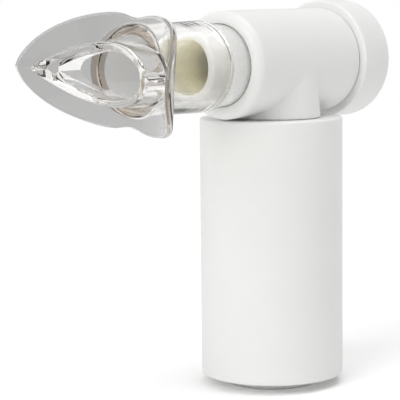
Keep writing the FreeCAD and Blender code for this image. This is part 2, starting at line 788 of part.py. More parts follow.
def make_mouthpiece():
    """The soft flanged mouthpiece: a bent oval plate, a bite rim and the tube."""
    along = FreeCAD.Vector(1, 0, 0)
    up = FreeCAD.Vector(0, 0, 1)
    bend = size.flange_bend.number
    half_wall = size.flange_thickness.number / 2
    bore_radius = size.male_radius.number + size.fit_gap.number
    tube_radius = bore_radius + size.mouth_tube_wall.number
    tube_end = -(collar_shoulder.number + size.face_gap.number)
    bend_centre = tube_end - size.mouth_tube_length.number - bend
    tall = 4 * size.flange_half_height.number
    outer = round_bar(bend + half_wall, tall, FreeCAD.Vector(bend_centre, 0, -tall / 2), up)
    inner = round_bar(bend - half_wall, tall, FreeCAD.Vector(bend_centre, 0, -tall / 2), up)

    # The plate is the bent wall inside an oval outline, with two notches
    start = bend_centre - bend
    reach = 2 * bend + half_wall
    oval = Part.Ellipse(FreeCAD.Vector(0, 0, 0), size.flange_half_width.number,
                        size.flange_half_height.number)
    face = Part.Face(Part.Wire(oval.toShape()))
    upright = FreeCAD.Rotation(FreeCAD.Vector(0, 1, 0), up, along, "ZXY")
    face.Placement = FreeCAD.Placement(FreeCAD.Vector(bend_centre, 0, 0), upright)
    plate = outer.cut(inner).common(face.extrude(along * reach))
    notch = size.flange_notch_radius.number
    sink = size.flange_half_height.number + notch - size.flange_notch_depth.number
    for side in (1, -1):
        plate = plate.cut(round_bar(notch, reach, FreeCAD.Vector(bend_centre, 0, side * sink), along))

    # The bite rim is a lens-shaped prism between the plate and a copy of its bend
    def lens(half_width, half_height, from_x, length):
        arc = (half_width ** 2 + half_height ** 2) / (2 * half_height)
        drop = arc - half_height
        low = round_bar(arc, length, FreeCAD.Vector(from_x, 0, -drop), along)
        high = round_bar(arc, length, FreeCAD.Vector(from_x, 0, drop), along)
        return low.common(high)

    rim_middle = bend_centre - size.bite_reach.number
    rim_limit = round_bar(bend, tall, FreeCAD.Vector(rim_middle, 0, -tall / 2), up)
    start = rim_middle - bend
    reach = bend_centre + bend + half_wall - start
    rim = lens(size.bite_half_width.number, size.bite_half_height.number, start, reach)
    rim = rim.common(outer).cut(rim_limit)

    # The tube ends in a rolled bead against the spigot's shoulder
    bead = size.mouth_bead.number
    bead_length = size.mouth_bead_length.number
    tube_start = bend_centre + bend * math.cos(math.asin(tube_radius / bend))
    tube = round_bar(tube_radius, tube_end - tube_start + half_wall,
                     FreeCAD.Vector(tube_start - half_wall, 0, 0), along)
    tube = tube.cut(inner)
    collar = round_bar(tube_radius + bead, bead_length,
                       FreeCAD.Vector(tube_end - bead_length, 0, 0), along)
    solid = plate.fuse([rim, tube, collar])

    # The airway is a lens in front of the plate and round behind it
    airway = lens(size.airway_half_width.number, size.airway_half_height.number, start, reach)
    bore = round_bar(bore_radius, tube_end - bend_centre, FreeCAD.Vector(bend_centre, 0, 0), along)
    opening = airway.common(inner).fuse(bore.cut(inner))
    solid = solid.cut(opening).removeSplitter()

    piece = doc.addObject("Part::Feature", "mouthpiece")
    piece.Label = "mouthpiece"
    piece.Shape = solid
    piece.Placement = FreeCAD.Placement(
        FreeCAD.Vector(0, 0, tube_height.number),
        FreeCAD.Rotation(along, size.mouth_roll.number))
    parts.append(piece)


make_grip_sleeve()
make_base_plug()
make_thread_sleeve()
make_head_housing()
make_retaining_ring()
make_inner_barrel()
make_rod_guide()
make_inlet_seat()
make_outlet_seat()
make_spring_carrier()
make_load_spring()
make_poppet()
make_poppet_seal()
make_spring_cup()
make_rod_clip()
make_outlet_flap()
make_rear_cap()
make_mouth_spigot()
make_mouthpiece()

o_ring("seat_o_ring", neck_bore - cord_inset, (seat_height + seat_top) / 2)
o_ring("cap_o_ring", outlet_bore - cord_inset, (cap_plug_end + cap_front) / 2, along_x=True)
o_ring("spigot_o_ring", socket_bore - cord_inset, (socket_end - size.tube_front) / 2, along_x=True)

doc.recompute()

# Check every object and write one file for each piece
for item in doc.Objects:
    if "Invalid" in item.State or "Error" in item.State:
        raise RuntimeError("%s failed: %s" % (item.Label, item.State))
os.makedirs("parts", exist_ok=True)
for piece in parts:
    shape = piece.Shape
    if shape.isNull() or not shape.isValid():
        raise RuntimeError("%s has no valid shape" % piece.Label)
    shape.exportStep("parts/%s.step" % piece.Label)
    print("%-16s %d solid, %8.1f mm3" % (piece.Label, len(shape.Solids), shape.Volume))
print("%d pieces" % len(parts))
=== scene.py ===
# %% [markdown]
# # An inspiratory muscle trainer in a white studio
#
# A trainer for the breathing muscles: a white valve head stands on a grip cylinder, and a
# soft clear mouthpiece is pushed over its pale spigot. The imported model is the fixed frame
# of this scene. Every piece below is made in metres, in that frame, and rides on one of
# its bodies, so that it can turn, lift or pull off with it.

# %% Load the frame
import math

import bpy
import numpy as np
from mathutils import Matrix, Vector


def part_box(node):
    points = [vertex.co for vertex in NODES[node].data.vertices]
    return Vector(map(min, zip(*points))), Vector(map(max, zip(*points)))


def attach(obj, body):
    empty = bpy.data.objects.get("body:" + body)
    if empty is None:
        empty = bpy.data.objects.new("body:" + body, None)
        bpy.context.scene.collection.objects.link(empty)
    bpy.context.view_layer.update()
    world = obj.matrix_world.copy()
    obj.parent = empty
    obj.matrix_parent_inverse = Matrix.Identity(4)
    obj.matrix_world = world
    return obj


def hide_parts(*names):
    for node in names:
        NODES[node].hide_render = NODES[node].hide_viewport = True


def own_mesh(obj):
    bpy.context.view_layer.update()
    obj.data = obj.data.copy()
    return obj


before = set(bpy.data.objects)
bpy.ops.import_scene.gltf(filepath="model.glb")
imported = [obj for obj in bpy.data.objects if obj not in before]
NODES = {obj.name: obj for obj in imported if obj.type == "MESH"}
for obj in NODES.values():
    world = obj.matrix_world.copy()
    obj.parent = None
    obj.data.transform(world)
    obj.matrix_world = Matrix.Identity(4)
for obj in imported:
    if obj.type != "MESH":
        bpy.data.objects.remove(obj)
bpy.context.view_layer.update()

# %% [markdown]
# The drawing of the real object is in millimetres and Blender's unit is the metre, so one
# factor turns a drawn size into a length of the scene. Heights come from the frame's own
# boxes where it has them: the tube's axis is the middle of the rear cap.

# %% Name the shared sizes
MM = 0.001
CAP_LOW, CAP_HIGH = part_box("rear_cap")
TUBE_HEIGHT = (CAP_LOW[2] + CAP_HIGH[2]) / 2
ON_TUBE_AXIS = Matrix.Translation((0, 0, TUBE_HEIGHT))
print("tube axis at %.1f mm" % (TUBE_HEIGHT / MM))

# %% [markdown]
# ## Node helpers
#
# The studio and the finishes are small node trees, and most of their nodes are the same few
# sorts. A helper for each sort keeps the trees short to read: an input that is given a
# socket is linked to it, and one that is given a number holds that number.

# %% Write the node helpers
def feed(tree, socket, value):
    """Link an input to another node's socket, or set it to a plain value."""
    if hasattr(value, "links"):
        tree.links.new(value, socket)
    else:
        socket.default_value = value


def maths(tree, operation, first, second=0.0):
    """The result of a sum on two numbers, each a number or a socket."""
    node = tree.nodes.new("ShaderNodeMath")
    node.operation = operation
    feed(tree, node.inputs[0], first)
    feed(tree, node.inputs[1], second)
    return node.outputs[0]


def vector_maths(tree, operation, first, second=(0, 0, 0)):
    """The result of a sum on two vectors: a number for a length or a dot product."""
    node = tree.nodes.new("ShaderNodeVectorMath")
    node.operation = operation
    feed(tree, node.inputs[0], first)
    feed(tree, node.inputs[1], second)
    return node.outputs["Value" if operation in ("LENGTH", "DOT_PRODUCT") else "Vector"]


def ranged(tree, value, low, high, start=0.0, end=1.0, kind="LINEAR"):
    """A value that runs from start to end, set to run from low to high."""
    node = tree.nodes.new("ShaderNodeMapRange")
    node.interpolation_type = kind
    feed(tree, node.inputs["Value"], value)
    feed(tree, node.inputs["From Min"], start)
    feed(tree, node.inputs["From Max"], end)
    feed(tree, node.inputs["To Min"], low)
    feed(tree, node.inputs["To Max"], high)
    return node.outputs["Result"]


print("node helpers ready")

# %% [markdown]
# ## Camera
#
# The photograph was taken from half left, a little above the head, with a long lens. The
# camera's place, heading, pitch and roll were worked out from the ends of the head's tube,
# whose circles show as ellipses. A camera looks along its own -Z, so its matrix has the
# right, up and backward directions as columns.

# %% Place the camera
CAMERA_PLACE = Vector((-431.2, -336.5, 128.5)) * MM
HEADING, PITCH, ROLL = math.radians(49.61), math.radians(7.19), math.radians(-0.61)
FRAME_PIXELS, FOCAL_PIXELS, SENSOR = 400, 1700, 36.0
NEAREST_SEEN = 0.01


def camera_matrix():
    """The camera's matrix from its heading, its pitch below level and its roll."""
    forward = Vector((math.sin(HEADING) * math.cos(PITCH), math.cos(HEADING) * math.cos(PITCH),
                      -math.sin(PITCH)))
    level = Vector((math.cos(HEADING), -math.sin(HEADING), 0))
    upright = level.cross(forward)
    right = level * math.cos(ROLL) + upright * math.sin(ROLL)
    up = upright * math.cos(ROLL) - level * math.sin(ROLL)
    turn = Matrix((right, up, -forward)).transposed()
    return Matrix.Translation(CAMERA_PLACE) @ turn.to_4x4()


camera_data = bpy.data.cameras.new("studio_camera")
camera_data.sensor_width = SENSOR
camera_data.lens = FOCAL_PIXELS / FRAME_PIXELS * SENSOR
camera_data.clip_start = NEAREST_SEEN
camera = bpy.data.objects.new("studio_camera", camera_data)
camera.matrix_world = camera_matrix()
bpy.context.scene.collection.objects.link(camera)
bpy.context.scene.camera = camera
bpy.context.scene.view_settings.view_transform = "Standard"
print("lens %.0f mm" % camera_data.lens)

# %% [markdown]
# ## Studio
#
# Soft light wraps round white plastic. A weak white world lights every side, one large
# softbox stands at the mouthpiece's side and one hangs overhead, so the grip's left and the
# head's top are the brightest. Far boxes give the same light all over the floor, which then
# comes out nearly white by its own colour. The world is pure white to the camera, and to
# rays that mirrors and clear plastic send out, while it lights the object less than that.
# Only in two directions do those rays find it darker: at the open side of the studio, and
# at the middle of the backdrop. Clear plastic has no colour of its own, and shows its form
# by the dark and light things that it bends.

# %% Light the studio
WORLD_LEVEL = 0.49
OPEN_SIDE, OPEN_REACH, OPEN_LEVEL = Vector((-0.70, -0.62, -0.35)).normalized(), (0.35, 0.85), 0.50
BACKDROP, BACKDROP_REACH = Vector((0.755, 0.642, -0.10)).normalized(), (0.90, 0.965)
BACKDROP_LEVEL = 0.47
LIGHT_DISTANCE = 8.0
TARGET = Vector((0, 0, 70)) * MM
# Each softbox has its direction from the target, its width and height in metres, and its level
SOFTBOXES = {
    "mouth_side_box": ((-0.82, -0.04, 0.50), 4.8, 3.8, 0.38),
    "overhead_box": ((0.10, -0.15, 1.0), 5.4, 5.4, 0.37),
}


def softbox(name, direction, width, height, level):
    """A rectangular lamp that adds level times white to a surface that faces it."""
    lamp = bpy.data.lights.new(name, "AREA")
    lamp.shape = "RECTANGLE"
    lamp.size, lamp.size_y = width, height
    lamp.energy = level * (math.pi * LIGHT_DISTANCE) ** 2
    thing = bpy.data.objects.new(name, lamp)
    away = Vector(direction).normalized()
    thing.location = TARGET + away * LIGHT_DISTANCE
    thing.rotation_euler = away.to_track_quat("Z", "Y").to_euler()
    bpy.context.scene.collection.objects.link(thing)


def darker_towards(tree, way, direction, reach, level):
    """1 in most directions, and the level round one of them."""
    toward = vector_maths(tree, "DOT_PRODUCT", way, direction)
    return ranged(tree, toward, 1.0, level, *reach, kind="SMOOTHSTEP")


def light_world():
    """A world that is white to the camera and weaker as a light."""
    world = bpy.data.worlds.new("studio_world")
    world.use_nodes = True
    tree = world.node_tree
    tree.nodes.clear()
    path = tree.nodes.new("ShaderNodeLightPath")
    mirrored = maths(tree, "MAXIMUM", path.outputs["Is Camera Ray"], path.outputs["Is Glossy Ray"])
    shown = maths(tree, "MAXIMUM", mirrored, path.outputs["Is Transmission Ray"])
    way = tree.nodes.new("ShaderNodeTexCoord").outputs["Generated"]
    open_side = darker_towards(tree, way, OPEN_SIDE, OPEN_REACH, OPEN_LEVEL)
    backdrop = darker_towards(tree, way, BACKDROP, BACKDROP_REACH, BACKDROP_LEVEL)
    bent = maths(tree, "MULTIPLY", open_side, backdrop)
    brightest = maths(tree, "MAXIMUM", path.outputs["Is Camera Ray"], bent)
    white = tree.nodes.new("ShaderNodeBackground")
    white.inputs["Color"].default_value = (1, 1, 1, 1)
    feed(tree, white.inputs["Strength"], ranged(tree, shown, WORLD_LEVEL, brightest))
    out = tree.nodes.new("ShaderNodeOutputWorld")
    tree.links.new(white.outputs[0], out.inputs["Surface"])
    bpy.context.scene.world = world


light_world()
for box_name, box_values in SOFTBOXES.items():
    softbox(box_name, *box_values)
print("world %.2f and %d softboxes" % (WORLD_LEVEL, len(SOFTBOXES)))

# %% [markdown]
# The floor is a plain pale sheet. It keeps the soft shadow under the grip's edge, so it is
# an ordinary matt surface. To the camera it is a shade whiter and has a faint glow, so that
# it blends into the white world behind its far edge. Other rays find it a little greyer, as
# a real white table is, and rays through clear plastic find it as grey as the backdrop, so
# that the mouthpiece shows one even grey from top to bottom.

# %% Lay the floor
FLOOR_HALF = 1.1
FLOOR_SEEN, FLOOR_LIT, FLOOR_BEHIND, FLOOR_LIFT = 0.99, 0.94, 0.52, 0.11
FLOOR_ROUGHNESS, FLOOR_SHINE = 0.9, 0.1


def lay_floor():
    """A matt white floor at the foot's level."""
    material = bpy.data.materials.new("floor_white")
    material.use_nodes = True
    tree = material.node_tree
    shader = tree.nodes["Principled BSDF"]
    shader.inputs["Roughness"].default_value = FLOOR_ROUGHNESS
    shader.inputs["Specular IOR Level"].default_value = FLOOR_SHINE
    shader.inputs["Emission Color"].default_value = (1, 1, 1, 1)
    path = tree.nodes.new("ShaderNodeLightPath")
    white = ranged(tree, path.outputs["Is Camera Ray"], FLOOR_LIT, FLOOR_SEEN)
    behind = ranged(tree, path.outputs["Is Transmission Ray"], white, FLOOR_BEHIND)
    feed(tree, shader.inputs["Base Color"], behind)
    lift = ranged(tree, path.outputs["Is Camera Ray"], 0.0, FLOOR_LIFT)
    feed(tree, shader.inputs["Emission Strength"], lift)
    reach = FLOOR_HALF
    corners = [(-reach, -reach, 0), (reach, -reach, 0), (reach, reach, 0), (-reach, reach, 0)]
    mesh = bpy.data.meshes.new("floor")
    mesh.from_pydata(corners, [], [(0, 1, 2, 3)])
    mesh.materials.append(material)
    floor = bpy.data.objects.new("floor", mesh)
    bpy.context.scene.collection.objects.link(floor)


lay_floor()
print("floor %.1f m wide" % (2 * FLOOR_HALF))

# %% [markdown]
# ## Finishes
#
# Each finish is a small node tree on Object coordinates. A noise at the scale of a moulded
# surface varies the colour by a few parts in a hundred, another drives the roughness and a
# fine one the bump. The object's own coordinates are metres, so a scale of 1000 is one cell
# for each millimetre. These helpers are shared by all the finishes.

# %% Write the finish helpers
NOISE_LOW, NOISE_HIGH = 0.3, 0.7
FINE_DETAIL = 2.0


def blank_material(name):
    """A new material with its node tree, its shader and the object's own coordinates."""
    material = bpy.data.materials.new(name)
    material.use_nodes = True
    tree = material.node_tree
    place = tree.nodes.new("ShaderNodeTexCoord").outputs["Object"]
    return material, tree, tree.nodes["Principled BSDF"], place


def noise(tree, source, scale, detail=3.0):
    """A noise texture on the given coordinates."""
    texture = tree.nodes.new("ShaderNodeTexNoise")
    texture.inputs["Scale"].default_value = scale
    texture.inputs["Detail"].default_value = detail
    tree.links.new(source, texture.inputs["Vector"])
    return texture.outputs["Fac"]


def spread(tree, value, low, high):
    """The range that a noise mostly stays in, set to run from low to high."""
    return ranged(tree, value, low, high, NOISE_LOW, NOISE_HIGH)


def mix_colours(tree, factor, first, second):
    """A colour between two, each a colour or a socket."""
    mix = tree.nodes.new("ShaderNodeMix")
    mix.data_type = "RGBA"
    for name, colour in (("A", first), ("B", second)):
        socket = next(s for s in mix.inputs if s.name == name and s.type == "RGBA")
        feed(tree, socket, colour if hasattr(colour, "links") else (*colour, 1))
    tree.links.new(factor, mix.inputs["Factor"])
    return next(s for s in mix.outputs if s.type == "RGBA")


def add_bump(tree, shader, height, distance, strength):
    """A bump of that height in metres on the shader's normal."""
    bump = tree.nodes.new("ShaderNodeBump")
    bump.inputs["Distance"].default_value = distance
    bump.inputs["Strength"].default_value = strength
    tree.links.new(height, bump.inputs["Height"])
    tree.links.new(bump.outputs["Normal"], shader.inputs["Normal"])


def add_milkiness(shader, weight, radius):
    """Light that enters the plastic and leaves it again nearby."""
    shader.inputs["Subsurface Weight"].default_value = weight
    shader.inputs["Subsurface Radius"].default_value = radius
    shader.inputs["Subsurface Scale"].default_value = 1.0


print("finish helpers ready")

# %% [markdown]
# The grip, head, cap and most inner pieces are moulded plastic with a fine grain from the
# tool. One function builds them all, and each piece's finish only gives its two colours,
# its roughness and how milky it is. The seals and rings take it too, in rubber's greys.

# %% Make the moulded plastics
MOTTLE_SCALE, RUB_SCALE, GRAIN_SCALE = 60.0, 240.0, 2500.0
GRAIN_DEPTH, GRAIN_STRENGTH, RUB_SPREAD = 0.02 * MM, 0.35, 0.04
SHELL_GLOW = (0.0030, 0.0028, 0.0024)


def moulded(name, colour, shade, roughness, milk=0.0):
    """Moulded plastic: a colour that drifts to its shade, some milkiness and a grained surface."""
    material, tree, shader, place = blank_material(name)
    drift = spread(tree, noise(tree, place, MOTTLE_SCALE), 0.0, 1.0)
    feed(tree, shader.inputs["Base Color"], mix_colours(tree, drift, colour, shade))
    rub = spread(tree, noise(tree, place, RUB_SCALE), roughness - RUB_SPREAD, roughness + RUB_SPREAD)
    feed(tree, shader.inputs["Roughness"], rub)
    add_bump(tree, shader, noise(tree, place, GRAIN_SCALE, FINE_DETAIL), GRAIN_DEPTH, GRAIN_STRENGTH)
    add_milkiness(shader, milk, SHELL_GLOW)
    return material


FINISHES = {
    "white_shell": moulded("satin_white", (0.865, 0.867, 0.85), (0.85, 0.853, 0.838), 0.36, milk=0.1),
    # Painted light: the foot's natural tone is lifted so that it stays bright in the shade under the
    # grip
    "foot": moulded("natural_foot_with_painted_light", (0.95, 0.95, 0.925), (0.93, 0.93, 0.905), 0.45),
    "inner_plastic": moulded("natural_acetal", (0.78, 0.77, 0.71), (0.72, 0.71, 0.65), 0.42),
    "ring_plastic": moulded("grey_ring", (0.52, 0.55, 0.58), (0.46, 0.49, 0.52), 0.40),
    "soft_seal": moulded("seal_silicone", (0.62, 0.64, 0.66), (0.55, 0.57, 0.60), 0.55),
    "o_ring_rubber": moulded("nitrile", (0.030, 0.030, 0.032), (0.045, 0.045, 0.045), 0.50),
}
print("plastic finishes:", ", ".join(sorted(FINISHES)))

# %% [markdown]
# Spring wire is drawn steel. Drawing leaves fine streaks round the coil, so the roughness
# follows a noise that is stretched along the wire's own height.

# %% Make the steel
STREAK_SCALE, STREAK_STRETCH, STREAK_DETAIL = 900.0, 9.0, 4.0
STREAK_DEPTH, STREAK_STRENGTH = 0.01 * MM, 0.3
STEEL_COLOURS = (0.60, 0.60, 0.61), (0.74, 0.74, 0.75)
STEEL_ROUGHNESS = (0.18, 0.34)


def drawn_steel():
    """Bright drawn wire with fine streaks."""
    material, tree, shader, place = blank_material("drawn_steel")
    shader.inputs["Metallic"].default_value = 1.0
    stretch = tree.nodes.new("ShaderNodeMapping")
    stretch.inputs["Scale"].default_value = (1.0, 1.0, STREAK_STRETCH)
    tree.links.new(place, stretch.inputs["Vector"])
    streak = noise(tree, stretch.outputs["Vector"], STREAK_SCALE, STREAK_DETAIL)
    colour = mix_colours(tree, spread(tree, streak, 0.0, 1.0), *STEEL_COLOURS)
    feed(tree, shader.inputs["Base Color"], colour)
    feed(tree, shader.inputs["Roughness"], spread(tree, streak, *STEEL_ROUGHNESS))
    add_bump(tree, shader, streak, STREAK_DEPTH, STREAK_STRENGTH)
    return material


FINISHES["spring_steel"] = drawn_steel()
print("steel finish made")

# %% [markdown]
# The spigot is a milky plastic. Its outside is a cool white, and its bore, which the light
# reaches only through the wall, is painted a bright warm beige: painted light that stands
# in for the light coming through the wall. The two meet at a radius, so the finish
# measures each point's distance from the tube's axis.

# %% Make the milky spigot plastic
BORE_EDGE, EDGE_SOFT = 9.0 * MM, 0.2 * MM
# Painted light: the bore's bright warm beige stands in for light that comes in through the wall
BORE_PAINTED_LIGHT_COLOURS = (0.96, 0.89, 0.64), (0.94, 0.86, 0.60)
OUTSIDE_COLOURS = (0.86, 0.87, 0.845), (0.83, 0.84, 0.815)
SPIGOT_MILK, SPIGOT_GLOW = 0.9, (0.0150, 0.0146, 0.0132)
SPIGOT_MOTTLE, SPIGOT_RUB, SPIGOT_GRAIN = 90.0, 300.0, 1800.0
SPIGOT_ROUGHNESS, SPIGOT_DEPTH, SPIGOT_STRENGTH = (0.22, 0.30), 0.01 * MM, 0.25


def milky():
    """Pale translucent plastic whose bore is painted a bright, warm light."""
    material, tree, shader, place = blank_material("milky_plastic")
    centred = vector_maths(tree, "SUBTRACT", place, (0, 0, TUBE_HEIGHT))
    from_axis = vector_maths(tree, "LENGTH", vector_maths(tree, "MULTIPLY", centred, (0, 1, 1)))
    outside = ranged(tree, from_axis, 0.0, 1.0, BORE_EDGE - EDGE_SOFT, BORE_EDGE + EDGE_SOFT)
    drift = spread(tree, noise(tree, place, SPIGOT_MOTTLE), 0.0, 1.0)
    # The bore's bright warm beige is painted light, for the light that comes in through the wall
    painted_bore_light = mix_colours(tree, drift, *BORE_PAINTED_LIGHT_COLOURS)
    cool = mix_colours(tree, drift, *OUTSIDE_COLOURS)
    feed(tree, shader.inputs["Base Color"], mix_colours(tree, outside, painted_bore_light, cool))
    add_milkiness(shader, SPIGOT_MILK, SPIGOT_GLOW)
    rub = spread(tree, noise(tree, place, SPIGOT_RUB), *SPIGOT_ROUGHNESS)
    feed(tree, shader.inputs["Roughness"], rub)
    grain = noise(tree, place, SPIGOT_GRAIN, FINE_DETAIL)
    add_bump(tree, shader, grain, SPIGOT_DEPTH, SPIGOT_STRENGTH)
    return material


FINISHES["pale_spigot"] = milky()
print("spigot finish made")

# %% [markdown]
# The mouthpiece is clear soft plastic: it bends light, and a long way through it, such as
# along the tube's wall, looks taupe. So it is a glass-like shader with a faint absorbing
# volume. Rays to the lamps pass straight on, because real soft plastic throws hardly any
# shadow, and so do rays that it has already bent several times, because they would get
# lost in its corners and leave them black. In front of the plate one looks along the whole
# wall of the tube behind it, which shows as a taupe ring, so that ring is painted shade on
# the plate's colour, and the rest of the plate carries a faint painted grey shade; the real
# plate is clear. The plate is found as the points that lie one bend radius from the axis of
# its bend, and the ring as those that lie at the middle of the tube's wall from the tube's
# own axis.

# %% Make the clear plastic
BEND_RADIUS, BEND_CENTRE = 33.0, -98.0
PLATE_HALF, PLATE_SOFT = 1.0 * MM, 0.5 * MM
WALL_MIDDLE, WALL_HALF, WALL_SOFT = 12.2 * MM, 1.3 * MM, 0.3 * MM
CLEAR_IOR, MOST_BENDS = 1.42, 5.5
CLEAR_RUB, CLEAR_ROUGHNESS = 150.0, (0.015, 0.05)
RIPPLE_SCALE, RIPPLE_DETAIL, RIPPLE_DEPTH, RIPPLE_STRENGTH = 220.0, 1.0, 0.06 * MM, 0.25
DEPTH_COLOUR, DEPTH_DENSITY = (0.62, 0.50, 0.42, 1), 8.0
# The plate's smoke and taupe ring are painted shade; the real plate is clear
CLEAR, PAINTED_PLATE_SHADE, PAINTED_WALL_SHADE = (0.99, 0.99, 0.985), (0.965, 0.965, 0.96), (0.36, 0.29, 0.23)
STRAIGHT_ON = (0.90, 0.90, 0.89, 1)


def band(tree, place, centre, keep, radius, half_width, soft):
    """0 where a point lies that far from a centre, within the half width, and 1 beyond it."""
    moved = vector_maths(tree, "SUBTRACT", place, centre)
    reach = vector_maths(tree, "LENGTH", vector_maths(tree, "MULTIPLY", moved, keep))
    apart = maths(tree, "ABSOLUTE", maths(tree, "SUBTRACT", reach, radius))
    return ranged(tree, apart, 0.0, 1.0, half_width, half_width + soft)


def clear_plastic():
    """Clear soft plastic with a taupe depth, painted grey shade on the plate and a painted shade ring
    for the tube's wall seen end on.
    """
    material, tree, shader, place = blank_material("clear_soft_plastic")
    shader.inputs["Transmission Weight"].default_value = 1.0
    shader.inputs["IOR"].default_value = CLEAR_IOR
    bend_axis = Vector((BEND_CENTRE, 0, 0)) * MM
    off_plate = band(tree, place, bend_axis, (1, 1, 0), BEND_RADIUS * MM, PLATE_HALF, PLATE_SOFT)
    off_wall = band(tree, place, (0, 0, TUBE_HEIGHT), (0, 1, 1), WALL_MIDDLE, WALL_HALF, WALL_SOFT)
    # Painted shade on the plate: a taupe ring where the tube's wall is seen end on, a faint grey
    # elsewhere
    painted_plate_shade = mix_colours(tree, off_wall, PAINTED_WALL_SHADE, PAINTED_PLATE_SHADE)
    feed(tree, shader.inputs["Base Color"], mix_colours(tree, off_plate, painted_plate_shade, CLEAR))
    rub = spread(tree, noise(tree, place, CLEAR_RUB), *CLEAR_ROUGHNESS)
    feed(tree, shader.inputs["Roughness"], rub)
    ripple = noise(tree, place, RIPPLE_SCALE, RIPPLE_DETAIL)
    add_bump(tree, shader, ripple, RIPPLE_DEPTH, RIPPLE_STRENGTH)

    # Shadow rays and rays that were already bent often enough pass straight on
    lamp_light = tree.nodes.new("ShaderNodeBsdfTransparent")
    lamp_light.inputs["Color"].default_value = STRAIGHT_ON
    path = tree.nodes.new("ShaderNodeLightPath")
    late = maths(tree, "GREATER_THAN", path.outputs["Ray Depth"], MOST_BENDS)
    surface = tree.nodes.new("ShaderNodeMixShader")
    feed(tree, surface.inputs[0], maths(tree, "MAXIMUM", path.outputs["Is Shadow Ray"], late))
    tree.links.new(shader.outputs[0], surface.inputs[1])
    tree.links.new(lamp_light.outputs[0], surface.inputs[2])
    depth = tree.nodes.new("ShaderNodeVolumeAbsorption")
    depth.inputs["Color"].default_value = DEPTH_COLOUR
    depth.inputs["Density"].default_value = DEPTH_DENSITY
    out = tree.nodes["Material Output"]
    tree.links.new(surface.outputs[0], out.inputs["Surface"])
    tree.links.new(depth.outputs[0], out.inputs["Volume"])
    return material


FINISHES["clear_soft"] = clear_plastic()
print("clear finish made")

# %% [markdown]
# ## Surfaces from a distance field
#
# The head and the mouthpiece are moulded in one: walls run into each other with small
# rounds, which are hard to model edge by edge. Here such a piece is written as a formula
# that gives each point of space its distance to the surface, negative inside. Pieces of
# the formula join, cut and overlap with a rounding each.

# %% Write the field's operations
def join(first, second, radius):
    """Both forms together, with a fillet of about the radius between them."""
    share = np.clip(0.5 + 0.5 * (second - first) / radius, 0, 1)
    return second * (1 - share) + first * share - radius * share * (1 - share)


def trim(first, second, radius):
    """The common part of two forms, with its edge rounded to the radius."""
    a, b = first + radius, second + radius
    outside = np.hypot(np.maximum(a, 0), np.maximum(b, 0))
    return outside + np.minimum(np.maximum(a, b), 0) - radius


def cut(first, second, radius):
    """The first form without the second, with the edge rounded to the radius."""
    return trim(first, -second, radius)


print("a fillet of 1 mm fills its corner by %.2f mm" % (1 - join(1.0, 1.0, 1.0)))

# %% [markdown]
# The surface lies where the formula gives zero. It is looked for on a grid of points: a cell
# whose corners don't all lie on one side is crossed by it and gets one point, and each grid
# edge with one end inside and one outside gets a face between the four cells round it. The
# faces are all four-sided and the mesh is closed, whatever the form.

# %% Find the surface
def grid_values(field, low, high, cell):
    """The field on a grid of points between two corners."""
    axes = [np.arange(low[i], high[i] + cell, cell) for i in range(3)]
    grid = np.stack(np.meshgrid(*axes, indexing="ij"), -1)
    return grid, field(grid)


def cell_points(grid, values, inside):
    """One point in each cell that the surface crosses: the mean of its edges' crossings."""
    size = [n - 1 for n in values.shape]
    total = np.zeros((*size, 3))
    count = np.zeros(size)
    for axis in range(3):
        others = [a for a in range(3) if a != axis]
        for step_a in (0, 1):
            for step_b in (0, 1):
                start = [slice(0, n) for n in size]
                start[others[0]] = slice(step_a, size[others[0]] + step_a)
                start[others[1]] = slice(step_b, size[others[1]] + step_b)
                end = list(start)
                end[axis] = slice(1, size[axis] + 1)
                start, end = tuple(start), tuple(end)
                crossed = inside[start] != inside[end]
                gap = values[start] - values[end]
                share = np.where(crossed, values[start] / np.where(gap == 0, 1, gap), 0)
                point = grid[start] + share[..., None] * (grid[end] - grid[start])
                total += np.where(crossed[..., None], point, 0)
                count += crossed
    numbers = -np.ones(size, int)
    used = count > 0
    numbers[used] = np.arange(used.sum())
    return total[used] / count[used][:, None], numbers


def cell_faces(inside, numbers):
    """A four-sided face round each grid edge whose ends lie on different sides."""
    faces = []
    for axis in range(3):
        side, up = (axis + 1) % 3, (axis + 2) % 3
        a = np.moveaxis(inside, (axis, side, up), (0, 1, 2))
        cells = np.moveaxis(numbers, (axis, side, up), (0, 1, 2))
        start, end = a[:-1, 1:-1, 1:-1], a[1:, 1:-1, 1:-1]
        ring = np.stack([cells[:, :-1, :-1], cells[:, 1:, :-1], cells[:, 1:, 1:], cells[:, :-1, 1:]], -1)
        faces.append(ring[start & ~end])
        faces.append(ring[~start & end][:, ::-1])
    return np.concatenate(faces)


print("surface finder ready")

# %% [markdown]
# The first points are only near the surface, and bunched up where the grid cuts it at a
# slant. So every point is moved along the field's slope until it lies on the surface, then
# drifts sideways to the middle of its neighbours, and is moved back onto the surface again.

# %% Move the points onto the surface
SLOPE_STEP, NEWTON_STEPS, DRIFT_SHARE = 0.01, 3, 0.5


def slope(field, points):
    """The field's gradient at the points, by central differences."""
    parts = []
    for axis in range(3):
        shift = np.zeros(3)
        shift[axis] = SLOPE_STEP
        parts.append((field(points + shift) - field(points - shift)) / (2 * SLOPE_STEP))
    return np.stack(parts, -1)


def unit_slope(field, points):
    """The field's gradient at the points, each brought to a length of one."""
    gradient = slope(field, points)
    return gradient / np.maximum(np.linalg.norm(gradient, axis=-1), 1e-6)[:, None]


def settle_points(field, points, reach):
    """Newton steps along the slope, each no longer than the reach."""
    for _ in range(NEWTON_STEPS):
        gradient = slope(field, points)
        square = np.maximum((gradient ** 2).sum(-1), 1e-6)
        move = -gradient * (field(points) / square)[:, None]
        long = np.linalg.norm(move, axis=-1)
        points = points + move * np.minimum(1, reach / np.maximum(long, 1e-9))[:, None]
    return points


